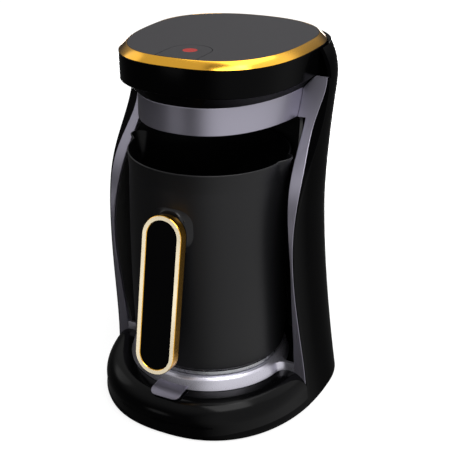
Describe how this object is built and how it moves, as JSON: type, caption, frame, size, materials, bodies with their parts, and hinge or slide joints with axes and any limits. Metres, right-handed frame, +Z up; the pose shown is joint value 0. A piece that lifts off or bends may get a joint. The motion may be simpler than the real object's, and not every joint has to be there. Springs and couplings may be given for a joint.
{
  "type": "electric Turkish coffee maker",
  "caption": "Electric Turkish coffee maker: hooded black body with gold trim, lift-out jug with an upright handle on a heating plate, and a start button on top.",
  "frame": {"origin": "on the table, under the middle of the machine's bounding box", "axes": "+Z up, front of the machine at -Y, +X to the right seen from the front; the YZ plane is the plane of symmetry"},
  "size_m": [0.1594, 0.18, 0.25],
  "materials": {
    "black_gloss": "gloss",
    "black_matte": "matte",
    "charcoal_satin": "satin",
    "anthracite": "satin",
    "gold": "polished",
    "jug_black": "satin",
    "plate_steel": "brushed",
    "steel": "satin",
    "aluminium": "satin",
    "rubber": "matte",
    "silicone": "matte",
    "circuit_board": "satin",
    "connector_plastic": "matte",
    "clear_window": "clear",
    "led_red": "gloss"
  },
  "bodies": {
    "housing": {"base_shell": "black_gloss", "bottom_cover": "black_matte", "base_screws": "steel", "rubber_feet": "rubber", "plate_gasket": "silicone", "heating_plate": "plate_steel", "heating_element": "steel", "heat_shield": "aluminium", "temperature_sensor": "aluminium", "thermal_fuse": "aluminium", "trim_frame": "anthracite", "rear_shell": "black_gloss", "cord_gland": "rubber", "cavity_wall": "black_matte", "power_board": "circuit_board", "relay": "black_matte", "terminal_block": "connector_plastic", "neck_cover": "black_matte", "sensor_window": "clear_window", "foam_sensor": "circuit_board", "head_housing": "black_gloss", "head_rim": "gold", "top_plate": "charcoal_satin", "control_board": "circuit_board", "board_screws": "steel", "tact_switch": "black_matte", "status_led": "led_red", "buzzer": "black_matte", "button_spring": "steel"},
    "start_button": {"start_button": "charcoal_satin", "button_icon": "led_red"},
    "jug": {"jug_body": "jug_black", "jug_base": "steel", "handle_ring": "gold", "handle_inlay": "charcoal_satin", "handle_core": "black_gloss", "handle_bracket": "steel", "handle_screws": "steel"}
  },
  "joints": [
    {"name": "jug_lift", "type": "slide", "parent": "housing", "child": "jug", "axis": [0, -0.9903, 0.1392], "range_m": [0, 0.14]},
    {"name": "start_button_press", "type": "slide", "parent": "housing", "child": "start_button", "axis": [0, 0, -1], "range_m": [0, 0.0012], "stiffness_N_per_m": 600, "springref_m": -0.001, "deforming": ["button_spring"]}
  ]
}
